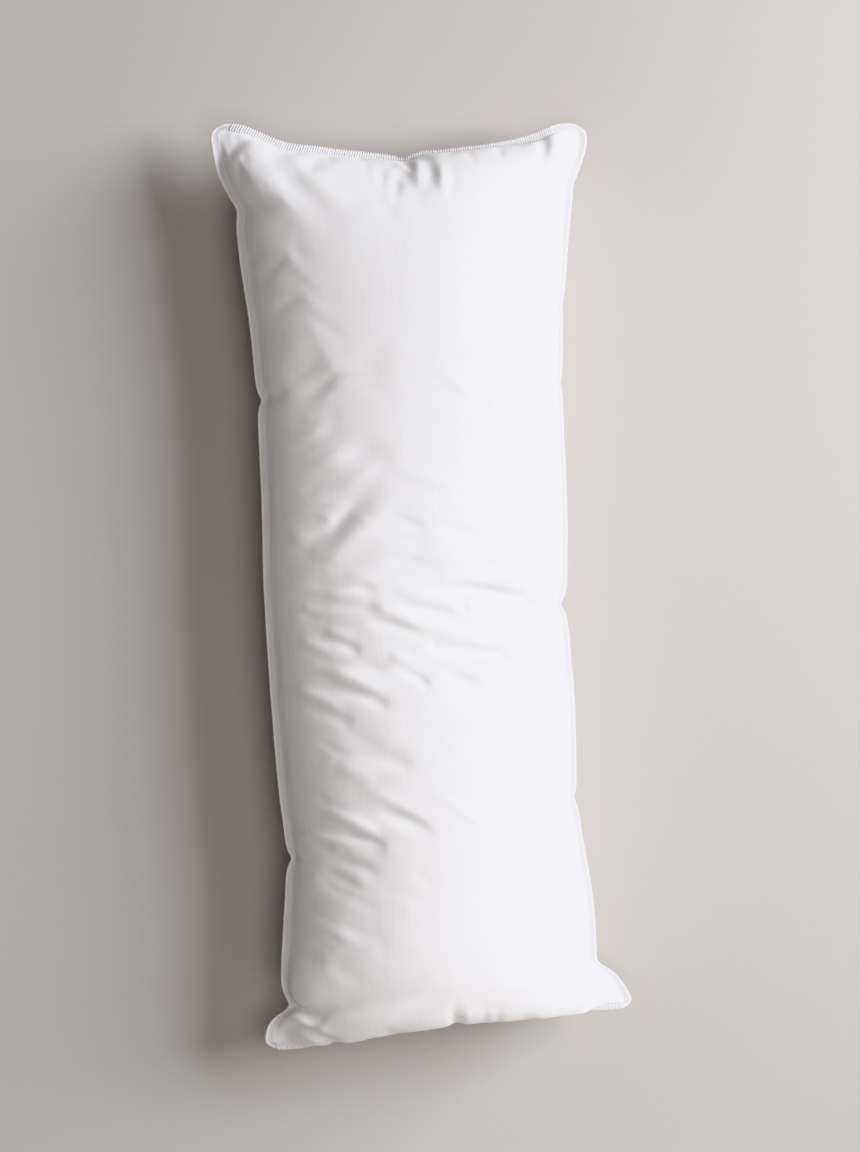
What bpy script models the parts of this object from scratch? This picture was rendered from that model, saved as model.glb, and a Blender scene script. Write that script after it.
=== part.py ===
"""A filled white body pillow lying on its back, in metres with +Z up.

Two long cotton panels are sewn together all round and filled, so the pillow is one plump body.  Its
face crowns up from the seam, its back lies flat where it touches the ground, and the seam allowance
stands out all round as a flat flange that runs to a pointed ear at each corner.  +X is the right side
of the face and +Y points to the head end.  The origin is on the ground under the pillow's middle.
"""

import math
from collections import namedtuple

import bmesh
import bpy

MM = 0.001

# Driving sizes of the filled body.
BODY_WIDTH = 405 * MM         # rim to rim at mid-length
CROWN = 101 * MM              # the face above the seam at mid-length
SEAM_HEIGHT = 87 * MM         # the seam above the ground along the body
FULLNESS = 2.1                # 2 is an elliptical cross-section, more is squarer
HEAD_ROLL = 165 * MM          # length over which the head end rounds down to its seam
FOOT_ROLL = 125 * MM          # the same at the blunter foot end
FOOT_TUCK = math.radians(34)  # how far the foot swells out over its seam, as an angle of its roll
FOOT_TUCK_POWER = 4           # the higher, the closer to the ears the swelling reaches

# Driving sizes of the corner ears.
EAR_DROOP = 10 * MM           # how much lower the tips hang
EAR_SLIMNESS = 0.35           # share of the crown that a tip loses
EAR_POWER_ACROSS = 3          # the higher these are, the smaller the ears
EAR_POWER_ALONG = 12

# Driving sizes of the flange, which is the seam allowance of both panels.
SIDE_FLANGE = 10 * MM
END_FLANGE = 9 * MM
FLANGE_THICKNESS = 2 * MM

# Uneven filling: rows of (place along the pillow in mm, share of the full crown there).
CREST = (
    (-600, 0.97),
    (-400, 0.99),
    (-230, 1.01),
    (-60, 0.94),
    (90, 0.99),
    (280, 1.03),
    (420, 0.99),
    (600, 0.92),
)
FOLD_FADE = 30 * MM           # folds flatten out where the face is less than this above the seam

# The flat patch of the back that lies on the ground.
SIDE_LIFT = 80 * MM           # the patch ends this far inside the side rims
END_LIFT = 125 * MM           # and this far inside the end rims
PATCH_ROUNDING = 0.12         # how much its corners are cut back, as a share of its half sizes
PATCH_POWER_ALONG = 8         # the higher these are, the tighter the corners' curves
PATCH_POWER_ACROSS = 4

# The rim of the flange in mm.  A side's rows are (along the pillow, across it), foot to head.  Rims that
# meet share the row at their corner.
LEFT_RIM = (
    (-597, -231),
    (-586, -237),
    (-571, -237),
    (-555, -227),
    (-538, -210),
    (-495, -213),
    (-450, -209),
    (-395, -203),
    (-335, -200),
    (-255, -205),
    (-125, -209),
    (0, -210),
    (110, -207),
    (235, -207),
    (320, -210),
    (415, -219),
    (470, -223),
    (500, -230),
    (553, -246),
    (574, -247),
    (592, -240),
)
RIGHT_RIM = (
    (-590, 254),
    (-577, 255),
    (-557, 245),
    (-537, 226),
    (-516, 209),
    (-480, 207),
    (-425, 204),
    (-370, 197),
    (-300, 191),
    (-190, 194),
    (-50, 191),
    (60, 197),
    (240, 200),
    (345, 207),
    (405, 215),
    (455, 222),
    (507, 233),
    (557, 251),
    (577, 253),
    (592, 246),
)
# An end's rows are (across the pillow, along it), left to right.
HEAD_RIM = (
    (-240, 592),
    (-214, 592),
    (-184, 582),
    (-153, 565),
    (-107, 557),
    (-55, 551),
    (0, 547),
    (55, 552),
    (100, 558),
    (149, 565),
    (174, 571),
    (195, 580),
    (216, 591),
    (246, 592),
)
FOOT_RIM = (
    (-231, -597),
    (-190, -597),
    (-140, -590),
    (-80, -580),
    (0, -576),
    (80, -577),
    (150, -581),
    (200, -588),
    (254, -590),
)

# Where the seam is drawn in to a notch: place along its rim, depth and half length, in mm.
Pinch = namedtuple("Pinch", "place depth half_length")
LEFT_PINCHES = (
    Pinch(468, 4, 12),
    Pinch(234, 8, 12),
    Pinch(-353, 9, 12),
    Pinch(-540, 4, 10),
)
RIGHT_PINCHES = (
    Pinch(505, 4, 10),
    Pinch(243, 4, 10),
    Pinch(-48, 10, 13),
    Pinch(-303, 5, 11),
    Pinch(-520, 3, 10),
)
HEAD_PINCHES = (Pinch(0, 7, 12),)
FOOT_PINCHES = (Pinch(2, 4, 12),)

# The main folds of the face, in mm.  Each runs from its start to its end, bowed to its left by `bow`,
# and stands up by `height` (a trough has a height below zero) with soft sides `width` wide.
Fold = namedtuple("Fold", "x_start y_start x_end y_end bow width height")
FOLDS = (
    # Head end: puckers fanning from the middle of the seam.
    Fold(-22, 540, -30, 440, 0, 11, 5),
    Fold(-10, 540, -6, 465, 0, 9, -6),
    Fold(10, 548, 8, 455, 0, 10, 6),
    Fold(25, 550, 27, 460, 0, 10, -8),
    Fold(42, 548, 30, 430, 0, 11, 5),
    # Head ears: the pull from each corner and the dimple in each tip.
    Fold(-225, 560, -95, 360, -8, 24, 7),
    Fold(-222, 510, -135, 385, -6, 18, -6),
    Fold(-236, 575, -200, 545, 0, 12, -4),
    Fold(232, 570, 120, 400, 8, 24, 6),
    Fold(196, 575, 190, 530, 0, 13, -6),
    Fold(216, 505, 165, 420, 4, 16, -4),
    # Left notch and the upper part of the left side.
    Fold(-208, 228, -120, 285, 6, 15, -7),
    Fold(-205, 262, -125, 315, 6, 16, 5),
    Fold(-205, 205, -120, 240, 0, 16, 4),
    # The broad diagonal trough and the ridges beside it.
    Fold(-190, -4, -30, 122, 8, 17, -7),
    Fold(-200, 32, -60, 142, 8, 18, 5),
    Fold(-165, -22, -20, 80, 8, 15, 4),
    # Creases across the middle, left half.
    Fold(-155, -28, -70, -30, 0, 9, -4),
    Fold(-190, -40, -120, -50, 0, 10, 3),
    Fold(-165, -57, -85, -95, 4, 10, -5),
    Fold(-175, -78, -90, -112, 4, 10, 3),
    Fold(-150, -92, -62, -145, 6, 12, 7),
    Fold(-168, -120, -50, -162, 6, 11, -8),
    Fold(-185, -125, -100, -165, 4, 10, 5),
    Fold(-185, -145, -95, -185, 4, 11, -5),
    Fold(-100, -44, 5, -76, 4, 10, -4),
    Fold(-50, -28, 30, -46, 0, 10, -3),
    Fold(-60, -105, -10, -138, 0, 10, -6),
    # Creases across the middle, right half, gathering at the right notch.
    Fold(0, -18, 140, -48, 8, 13, -3),
    Fold(40, -60, 175, -74, 4, 12, -3),
    Fold(-5, -84, 95, -108, 0, 12, -3),
    Fold(30, -112, 140, -126, 0, 13, -3),
    Fold(196, -46, 120, -50, 0, 12, -6),
    Fold(190, -22, 120, -20, 0, 14, 4),
    Fold(190, -78, 120, -88, 0, 14, 4),
    # Lower left: soft hollows, then the sharp crease that runs in from the lower notch.
    Fold(-120, -212, -30, -232, 0, 15, -4),
    Fold(-160, -232, -75, -266, 4, 14, -4),
    Fold(-110, -282, -5, -322, 6, 15, -4),
    Fold(-160, -282, -75, -316, 4, 13, 6),
    Fold(-190, -300, -65, -336, 6, 11, -8),
    Fold(-205, -330, -125, -334, 0, 13, -5),
    Fold(-195, -362, -90, -372, 0, 18, 5),
    Fold(190, -303, 120, -300, 0, 14, -4),
    # Foot end: the fold out of the left ear and the dimples over the seam.
    Fold(-215, -530, -120, -590, 6, 14, 6),
    Fold(-205, -520, -125, -565, 6, 11, -5),
    Fold(4, -592, 2, -545, 0, 12, -5),
    Fold(34, -560, 36, -520, 0, 13, -3),
    Fold(74, -560, 78, -520, 0, 13, -3),
    Fold(225, -565, 150, -500, -6, 18, -4),
)

# Sizes that follow.  The crests are where the rounded ends reach the full crown, as shares of the length.
LENGTH = (HEAD_RIM[0][1] - FOOT_RIM[0][1]) * MM
FOOT_CREST = (END_FLANGE + FOOT_ROLL) / LENGTH
HEAD_CREST = 1 - (END_FLANGE + HEAD_ROLL) / LENGTH

# Mesh steps: columns across the face, rows along it, and steps down under the back.
COLUMNS = 32
FOOT_ROWS = 11
HEAD_ROWS = 11
BACK_STEPS = 5
EVEN_SHARE = 0.7              # how far the columns are evenly spaced and not crowded to the sides

# Between its rounded ends the face has its rows closest where it is most creased.  Each stretch ends at
# a place along the pillow, in mm, and has a number of rows.
Stretch = namedtuple("Stretch", "end rows")
STRETCHES = (
    Stretch(-385, 5),
    Stretch(-270, 12),
    Stretch(-195, 6),
    Stretch(10, 24),
    Stretch(140, 11),
    Stretch(420, 16),
)
MIDDLE_ROWS = sum(stretch.rows for stretch in STRETCHES)
ROWS = FOOT_ROWS + MIDDLE_ROWS + HEAD_ROWS

# Finish of bleached cotton.
COTTON_COLOUR = (0.87, 0.87, 0.89, 1.0)
COTTON_ROUGHNESS = 0.85
SHARP_EDGE = math.radians(50)


def clear_scene():
    """Remove what a new scene starts with."""
    for thing in list(bpy.data.objects):
        bpy.data.objects.remove(thing, do_unlink=True)


def mix(start, end, share):
    """The value that lies a share of the way from start to end."""
    return start + (end - start) * share


def smooth_through(rows, place):
    """Read a soft curve that passes through every (place, value) row."""
    last = len(rows) - 1
    step = max(index for index in range(last) if index == 0 or rows[index][0] <= place)
    (x_low, y_low), (x_high, y_high) = rows[step], rows[step + 1]
    gap = x_high - x_low
    share = min(max((place - x_low) / gap, 0), 1)

    def slope(index):
        before, after = rows[max(index - 1, 0)], rows[min(index + 1, last)]
        return (after[1] - before[1]) / (after[0] - before[0])

    rise = y_high - y_low
    pull_low = slope(step) * gap - rise
    pull_high = rise - slope(step + 1) * gap
    return y_low + share * rise + share * (1 - share) * ((1 - share) * pull_low + share * pull_high)


def drawn_in(pinches, place):
    """How far the notches draw a rim in at a place along it, in mm."""
    return sum(p.depth * math.exp(-(((place - p.place) / p.half_length) ** 2)) for p in pinches)


def side_rim(rows, pinches, inward, share):
    """Point on a side's rim, a share of the way from foot to head.  Past the ends it stays at the corner."""
    along = mix(rows[0][0], rows[-1][0], min(max(share, 0), 1))
    across = smooth_through(rows, along) + inward * drawn_in(pinches, along)
    return across * MM, along * MM


def end_rim(rows, pinches, inward, share):
    """Point on an end's rim, a share of the way from left to right."""
    across = mix(rows[0][0], rows[-1][0], share)
    along = smooth_through(rows, across) + inward * drawn_in(pinches, across)
    return across * MM, along * MM


def plan_point(across, along):
    """Spread a unit square over the rim's outline: (0, 0) is the left foot ear's tip, (1, 1) the right head
    ear's.  Each point blends the four rims, and takes off what the four corners would count twice."""
    left = side_rim(LEFT_RIM, LEFT_PINCHES, 1, along)
    right = side_rim(RIGHT_RIM, RIGHT_PINCHES, -1, along)
    foot = end_rim(FOOT_RIM, FOOT_PINCHES, 1, across)
    head = end_rim(HEAD_RIM, HEAD_PINCHES, -1, across)
    point = []
    for axis in (0, 1):
        sides = mix(left[axis], right[axis], across)
        ends = mix(foot[axis], head[axis], along)
        foot_corners = mix(FOOT_RIM[0][axis], FOOT_RIM[-1][axis], across)
        head_corners = mix(HEAD_RIM[0][axis], HEAD_RIM[-1][axis], across)
        point.append(sides + ends - mix(foot_corners, head_corners, along) * MM)
    return tuple(point)


def cornerness(across, along):
    """1 at the tips of the four ears, fading to 0 a hand's width away."""
    return abs(2 * across - 1) ** EAR_POWER_ACROSS * abs(2 * along - 1) ** EAR_POWER_ALONG


def seam_height(across, along):
    """Height of the seam above the ground, which droops at the ears."""
    return SEAM_HEIGHT - EAR_DROOP * cornerness(across, along)


def roll(turn, tuck):
    """Follow a rounded edge from its seam, turn 0, to its full height, turn 1.  The first value is how far it
    has come in and the second how far it has risen, both as shares.  A tuck starts it under its widest
    line, so that it first swells out past the seam."""
    angle = mix(-tuck, math.pi / 2, turn)
    inset = 1 - math.cos(angle) / math.cos(tuck)
    rise = (math.sin(angle) + math.sin(tuck)) / (1 + math.sin(tuck))
    return inset, rise


def column_place(column):
    """Place of a column from the left seam, 0, to the right seam, 1, and its share of the crown."""
    even = 2 * column / COLUMNS - 1
    crowded = math.sin(even * math.pi / 2)
    side = mix(crowded, even, EVEN_SHARE)
    return (1 + side) / 2, (1 - abs(side) ** FULLNESS) ** (1 / FULLNESS)


def foot_tuck(column):
    """The foot swells over its seam except at the ears."""
    side = 2 * column_place(column)[0] - 1
    return FOOT_TUCK * (1 - abs(side) ** FOOT_TUCK_POWER)


def middle_place(row):
    """Place along the pillow of a row between the rounded ends, counted from the foot's."""
    start = FOOT_CREST
    for stretch in STRETCHES:
        end = min((stretch.end - FOOT_RIM[0][1]) * MM / LENGTH, HEAD_CREST)
        if row <= stretch.rows:
            return mix(start, end, row / stretch.rows)
        row -= stretch.rows
        start = end


def row_place(row, column):
    """Place of a row along the pillow, from 0 at the foot rim to 1 at the head rim, and its share of the
    full crown."""
    flange = END_FLANGE / LENGTH
    if row <= FOOT_ROWS:
        inset, rise = roll(row / FOOT_ROWS, foot_tuck(column))
        return mix(flange, FOOT_CREST, inset), rise
    if row >= ROWS - HEAD_ROWS:
        inset, rise = roll((ROWS - row) / HEAD_ROWS, 0)
        return mix(1 - flange, HEAD_CREST, inset), rise
    return middle_place(row - FOOT_ROWS), 1


def inside_flange(share):
    """Take a place across the filled body to its place across the whole pillow with its flanges."""
    flange = SIDE_FLANGE / BODY_WIDTH
    return mix(flange, 1 - flange, share)


def face_point(column, row):
    """A point of the face before it is folded, and its height above the seam."""
    place, side_rise = column_place(column)
    across = inside_flange(place)
    along, end_rise = row_place(row, column)
    x, y = plan_point(across, along)
    crown = CROWN * smooth_through(CREST, y / MM) * side_rise * end_rise
    crown *= 1 - EAR_SLIMNESS * cornerness(across, along)
    return (x, y, seam_height(across, along) + FLANGE_THICKNESS / 2 + crown), crown


def fold_height(fold, x, y):
    """How far one fold lifts the face at a place, in metres."""
    length = math.hypot(fold.x_end - fold.x_start, fold.y_end - fold.y_start)
    run_x = (fold.x_end - fold.x_start) / length
    run_y = (fold.y_end - fold.y_start) / length
    from_x = x / MM - fold.x_start
    from_y = y / MM - fold.y_start
    share = (from_x * run_x + from_y * run_y) / length
    if not 0 < share < 1:
        return 0
    bow = fold.bow * 4 * share * (1 - share)
    aside = (from_y * run_x - from_x * run_y - bow) / fold.width
    return fold.height * MM * math.sin(math.pi * share) * math.exp(-aside * aside)


def face_panel(bm):
    """The face as a grid; returns its points by column and row, and their heights above the seam."""
    bmesh.ops.create_grid(bm, x_segments=COLUMNS, y_segments=ROWS, size=0.5)
    points = {}
    crowns = {}
    for vert in bm.verts:
        column = round((vert.co.x + 0.5) * COLUMNS)
        row = round((vert.co.y + 0.5) * ROWS)
        vert.co, crowns[vert] = face_point(column, row)
        points[column, row] = vert
    return points, crowns


def fold_face(bm, crowns):
    """Raise the ridges and sink the troughs, square to the face, and let them die away at the seam."""
    bm.normal_update()
    lifts = {}
    for vert, crown in crowns.items():
        lift = sum(fold_height(fold, vert.co.x, vert.co.y) for fold in FOLDS)
        lifts[vert] = lift * min(crown / FOLD_FADE, 1)
    for vert, lift in lifts.items():
        vert.co += vert.normal * lift


def seam_run():
    """The columns and rows of the seam all round, anticlockwise from the left foot ear."""
    foot = [(column, 0) for column in range(COLUMNS)]
    right = [(COLUMNS, row) for row in range(ROWS)]
    head = [(column, ROWS) for column in range(COLUMNS, 0, -1)]
    left = [(0, row) for row in range(ROWS, 0, -1)]
    return foot + right + head + left


def seam_place(column, row, at_rim):
    """Place of a seam point over the outline, on the stitch line or out at the flange's rim."""
    across = column_place(column)[0]
    along = row_place(row, column)[0]
    if at_rim and row in (0, ROWS):
        along = row / ROWS
    if at_rim and column in (0, COLUMNS):
        return across, along
    return inside_flange(across), along


def seam_ring(bm, stations, at_rim, side):
    """A ring of points round the flange: side 1 is its upper face and side -1 its lower one."""
    ring = []
    for column, row in stations:
        across, along = seam_place(column, row, at_rim)
        x, y = plan_point(across, along)
        z = seam_height(across, along) + side * FLANGE_THICKNESS / 2
        ring.append(bm.verts.new((x, y, z)))
    return ring


def patch_point(across, along):
    """Where a seam point's line down the back meets the ground patch."""
    side = 2 * across - 1
    end = 2 * along - 1
    side_reach = 1 - 2 * SIDE_LIFT / BODY_WIDTH
    end_reach = 1 - 2 * END_LIFT / LENGTH
    patch_side = side * side_reach * (1 - PATCH_ROUNDING * abs(end) ** PATCH_POWER_ALONG)
    patch_end = end * end_reach * (1 - PATCH_ROUNDING * abs(side) ** PATCH_POWER_ACROSS)
    return plan_point((1 + patch_side) / 2, (1 + patch_end) / 2)


def back_ring(bm, stations, turn):
    """A ring of points part of the way from the seam, turn 0, down to the ground patch, turn 1."""
    ring = []
    for column, row in stations:
        across, along = seam_place(column, row, at_rim=False)
        tuck = foot_tuck(column) if row == 0 else 0
        inset, drop = roll(turn, tuck)
        slim = cornerness(across, along)
        drop = mix(drop, max(inset, 0), slim)
        start = plan_point(across, along)
        end = patch_point(across, along)
        z = (seam_height(across, along) - FLANGE_THICKNESS / 2) * (1 - drop)
        ring.append(bm.verts.new((mix(start[0], end[0], inset), mix(start[1], end[1], inset), z)))
    return ring


def bridge(bm, old, new):
    """Join two rings of the same count with four-sided faces."""
    for index in range(len(old)):
        after = (index + 1) % len(old)
        bm.faces.new((new[index], new[after], old[after], old[index]))


def bridge_to_half(bm, old, new):
    """Join a ring to one with half its points, with three triangles to each new point."""
    for index in range(len(new)):
        after = (index + 1) % len(new)
        near, middle, far = old[2 * index], old[2 * index + 1], old[(2 * index + 2) % len(old)]
        bm.faces.new((new[index], middle, near))
        bm.faces.new((new[index], new[after], middle))
        bm.faces.new((new[after], far, middle))


def flange_and_back(bm, points):
    """Run the flange out from the face, back in under it, and close the back down to its flat patch."""
    stations = seam_run()
    stitch_line = [points[station] for station in stations]
    upper_rim = seam_ring(bm, stations, at_rim=True, side=1)
    lower_rim = seam_ring(bm, stations, at_rim=True, side=-1)
    bridge(bm, stitch_line, upper_rim)
    bridge(bm, upper_rim, lower_rim)
    coarse = stations[::2]
    ring = back_ring(bm, coarse, 0)
    bridge_to_half(bm, lower_rim, ring)
    for step in range(1, BACK_STEPS + 1):
        lower = back_ring(bm, coarse, step / BACK_STEPS)
        bridge(bm, ring, lower)
        ring = lower
    bm.faces.new(list(reversed(ring)))


def cotton():
    """Bleached cotton cloth."""
    material = bpy.data.materials.new("bleached_cotton")
    material.use_nodes = True
    shader = material.node_tree.nodes["Principled BSDF"]
    shader.inputs["Base Color"].default_value = COTTON_COLOUR
    shader.inputs["Roughness"].default_value = COTTON_ROUGHNESS
    shader.inputs["Metallic"].default_value = 0
    return material


def pillow():
    """The whole pillow as one closed body."""
    bm = bmesh.new()
    points, crowns = face_panel(bm)
    flange_and_back(bm, points)
    fold_face(bm, crowns)
    mesh = bpy.data.meshes.new("pillow")
    bm.to_mesh(mesh)
    bm.free()
    mesh.materials.append(cotton())
    mesh.shade_smooth()
    mesh.set_sharp_from_angle(angle=SHARP_EDGE)
    body = bpy.data.objects.new("pillow", mesh)
    bpy.context.collection.objects.link(body)


clear_scene()
pillow()
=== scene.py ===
"""The looks of a white cotton body pillow that lies on its back.

The pillow is two long panels of down-proof cotton, sewn together all round and filled plump.  One closed
shell carries both panels and the flat flange of seam allowance outside the stitch line.  It is spread over
the pillow's outline, creased where the real one is, swollen by a short cloth simulation and creased a little
more.  The overlock sewing at the head and the foot and the lockstitch along the seam are separate runs of
thread.  Everything is in metres, in the row's frame: +X is the right side of the face, +Y points to the head
end and +Z comes out of the face.  The tables of rims and folds are in mm.
"""

import math
from collections import namedtuple

import bpy
import numpy as np
from mathutils import Matrix, Vector
from mathutils.bvhtree import BVHTree


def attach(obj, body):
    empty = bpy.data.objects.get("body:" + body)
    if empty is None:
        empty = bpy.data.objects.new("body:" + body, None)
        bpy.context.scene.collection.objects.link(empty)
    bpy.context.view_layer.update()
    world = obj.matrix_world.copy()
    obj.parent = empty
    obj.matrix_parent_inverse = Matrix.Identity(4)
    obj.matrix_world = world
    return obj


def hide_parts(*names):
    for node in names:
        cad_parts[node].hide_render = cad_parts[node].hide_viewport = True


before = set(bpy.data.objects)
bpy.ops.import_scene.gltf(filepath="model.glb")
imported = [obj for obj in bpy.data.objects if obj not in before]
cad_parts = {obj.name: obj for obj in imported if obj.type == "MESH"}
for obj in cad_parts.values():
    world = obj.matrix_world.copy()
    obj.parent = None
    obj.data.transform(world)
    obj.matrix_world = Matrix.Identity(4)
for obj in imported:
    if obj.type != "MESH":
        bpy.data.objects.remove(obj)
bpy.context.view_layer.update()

MM = 0.001
TINY = 1e-12  # keeps a division from failing
NODE = "pillow"

# ---- The filled body ----
BODY_WIDTH = 405 * MM  # rim to rim at mid-length
CROWN = 100 * MM  # the face above the seam at mid-length
SEAM_HEIGHT = 87 * MM  # the seam above the ground along the body
FULLNESS = 2.1  # 2 is an elliptical cross-section, more is squarer
CROWN_LEAN = 0.12  # the crown is highest this share of half the width right of the middle
HEAD_ROLL = 165 * MM  # length over which the head end rounds down to its seam
FOOT_ROLL = 125 * MM  # the same at the blunter foot end
FOOT_TUCK = math.radians(34)  # how far the foot swells out over its seam, as an angle of its roll
FOOT_TUCK_POWER = 4  # the higher, the closer to the ears the swelling reaches
SIDE_LIFT = 80 * MM  # the back leaves the ground this far inside the side seams
END_LIFT = 125 * MM  # and this far inside the end seams

# ---- The flange: the seam allowance of both panels, outside the stitch line ----
SIDE_FLANGE = 10 * MM
END_FLANGE = 10 * MM
STITCH_GAP = 0.8 * MM  # between the panels' outer faces where the thread pulls them together
# Rows of the flange: share of its width out from the stitch line, and thickness there in mm.  The last few
# millimetres are turned in, so the edge is a thicker bead.
FLANGE_ROWS = (
    (0.34, 0.9), (0.64, 1.1), (0.78, 2.3), (1.0, 1.8),
)
FLANGE_WAVE = 1.1 * MM  # how far the flange ripples up and down
WAVE_LENGTHS = (173 * MM, 97 * MM, 61 * MM)
WAVE_SLANT = 1.3  # the ripples run aslant: this far across for each metre along
WAVE_POWER = 8  # the higher, the less the ripples reach in from the edge
HEAD_OVERLOCK = (-222 * MM, 206 * MM)  # from here to here across the pillow the ends are overlocked
FOOT_OVERLOCK = (-226 * MM, 240 * MM)

# ---- The corner ears ----
EAR_DROOP = 10 * MM  # how much lower the tips hang
EAR_SLIMNESS = 0.45  # share of the crown that a tip loses
EAR_POWER_ACROSS = 3  # the higher these are, the smaller the ears
EAR_POWER_ALONG = 12
TIP_ROUND = 12 * MM  # radius of the tips' outline
# For each ear's tip, in mm: no filling is closer to the corner than this, and it is full again from here on.
# In the order left foot, right foot, left head, right head.
TIP_FILLINGS = ((10, 54), (34, 84), (8, 58), (16, 58))

# Uneven filling: rows of (place along the pillow in mm, share of the full crown there).
CREST = (
    (-600, 0.97), (-400, 0.99), (-230, 1.01), (-60, 0.94),
    (90, 0.93), (280, 0.92), (420, 0.92), (600, 0.92),
)

# ---- The rim of the flange, in mm ----
# A side's rows are (along the pillow, across it), foot to head.  Rims that meet share their corner's row.
LEFT_RIM = (
    (-597, -231), (-586, -237), (-571, -236), (-558, -229), (-550, -219),
    (-544, -208), (-536, -208), (-526, -211), (-507, -214), (-450, -209),
    (-395, -203), (-335, -200), (-255, -205), (-125, -209), (0, -210),
    (110, -207), (235, -207), (320, -210), (415, -219), (455, -221),
    (478, -221), (488, -225), (502, -232), (525, -241), (553, -246),
    (574, -247), (589.5, -240),
)
RIGHT_RIM = (
    (-590, 252), (-577, 253), (-566, 248), (-552, 240), (-541, 231),
    (-532, 221), (-526, 211), (-518, 207), (-480, 207), (-425, 204),
    (-370, 197), (-300, 191), (-190, 194), (-50, 191), (60, 197),
    (240, 200), (345, 207), (405, 215), (455, 222), (507, 233),
    (557, 251), (577, 253), (589.5, 246),
)
# An end's rows are (across the pillow, along it), left to right.
HEAD_RIM = (
    (-240, 589.5), (-214, 589.5), (-184, 578), (-153, 564.5), (-107, 557.5),
    (-55, 551), (0, 547), (28, 551.5), (55, 553), (100, 558.5),
    (149, 566.5), (174, 573.5), (195, 582), (216, 588.5), (246, 589.5),
)
FOOT_RIM = (
    (-231, -597), (-190, -597), (-140, -590), (-80, -580), (0, -576),
    (80, -577), (150, -581), (200, -588), (252, -590),
)

# Where the seam is drawn in to a notch: place along its rim, depth and half length, in mm.
Pinch = namedtuple("Pinch", "place depth half_length")
PINCH_REACH = 26 * MM  # how far in from the rim the cloth is dragged along
PINCH_KEEN = 1.05  # 2 is a soft dent, nearer 1 a sharp notch
LEFT_PINCHES = (
    Pinch(476, 3, 7),
    Pinch(234, 8, 9),
    Pinch(-353, 9, 9),
    Pinch(-541, 4, 6),
)
RIGHT_PINCHES = (
    Pinch(505, 4, 9),
    Pinch(345, 2, 7),
    Pinch(243, 4, 8),
    Pinch(-48, 11, 10),
    Pinch(-303, 6, 9),
    Pinch(-523, 2, 6),
)
HEAD_PINCHES = (Pinch(0, 7, 10),)
FOOT_PINCHES = (Pinch(2, 4, 10),)

# ---- Folds of the face, in mm ----
# Each runs from its start to its end, bowed to its left by `bow`.  It stands up by `height`, or sinks if
# that is below zero, and is `width` wide to each side.  `peak` is the share of its run where it is fullest.
Fold = namedtuple("Fold", "x_start y_start x_end y_end bow width height peak")
BROAD_FOLDS = tuple(Fold(*row) for row in (
    # The upper half bulges most to the right of its middle.
    (88, 640, 66, -20, 0, 100, 13.5, 0.4),
    # The pull out of the head ears.
    (-229, 552, -115, 423, -6, 16, 3.4, 0.35),
    (-189, 550, -95, 444, -3, 11, -1.3, 0.4),
    (-172, 559, -87, 466, -3, 12, 1.5, 0.4),
    (-214, 503, -139, 410, -3, 12, -2.1, 0.5),
    (214, 552, 112, 427, 6, 20, 3.5, 0.4),
    # Hollows and swells of the left side.
    (-194, 242, -127, 279, 0, 15, -2.6, 0.6),
    (-163, 257, -104, 282, 0, 15, 1.4, 0.5),
    (-98, 272, -48, 255, 0, 16, -1, 0.5),
    (-102, 163, -49, 142, 0, 16, -1.6, 0.5),
    (-144, 128, -102, 158, 0, 16, 1.6, 0.5),
    (-170, 197, -108, 208, 0, 14, -1.3, 0.6),
    (-174, 15, -65, 121, 2, 13, -3.5, 0.5),
    (-171, -6, -51, 95, 2, 13, 2.6, 0.45),
    (-186, 68, -152, 50, 0, 10, 1.6, 0.5),
    (-76, 7, 9, -14, 3, 11, -1.5, 0.6),
    (-73, 59, -9, 32, 2, 10, -1.3, 0.55),
    (-188, -383, -130, -397, 0, 10, 0.9, 0.5),
    (-189, -400, -107, -423, 2, 12, -0.9, 0.5),
    (-166, -435, -115, -469, 0, 11, 1.2, 0.4),
    (-171, -464, -122, -493, 0, 11, -1.1, 0.5),
    (-172, -487, -131, -511, 0, 9, 0.8, 0.5),
    (-132, -275, -96, -339, 0, 12, 1.2, 0.4),
    # Swells beside the notches of the right side.
    (163, -22, 79, -5, 0, 17, 3.5, 0.3),
    (166, -83, 81, -87, 0, 17, 3.5, 0.3),
    (179, -299, 90, -298, 0, 14, -2.5, 0.3),
    # Foot end: the pull out of the right ear.
    (225, -559, 123, -472, -4, 18, -3, 0.4),
    # The foot's left shoulder, above its ear.
    (-196, -473, -177, -559, -3, 26, 7, 0.6),
))
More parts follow.
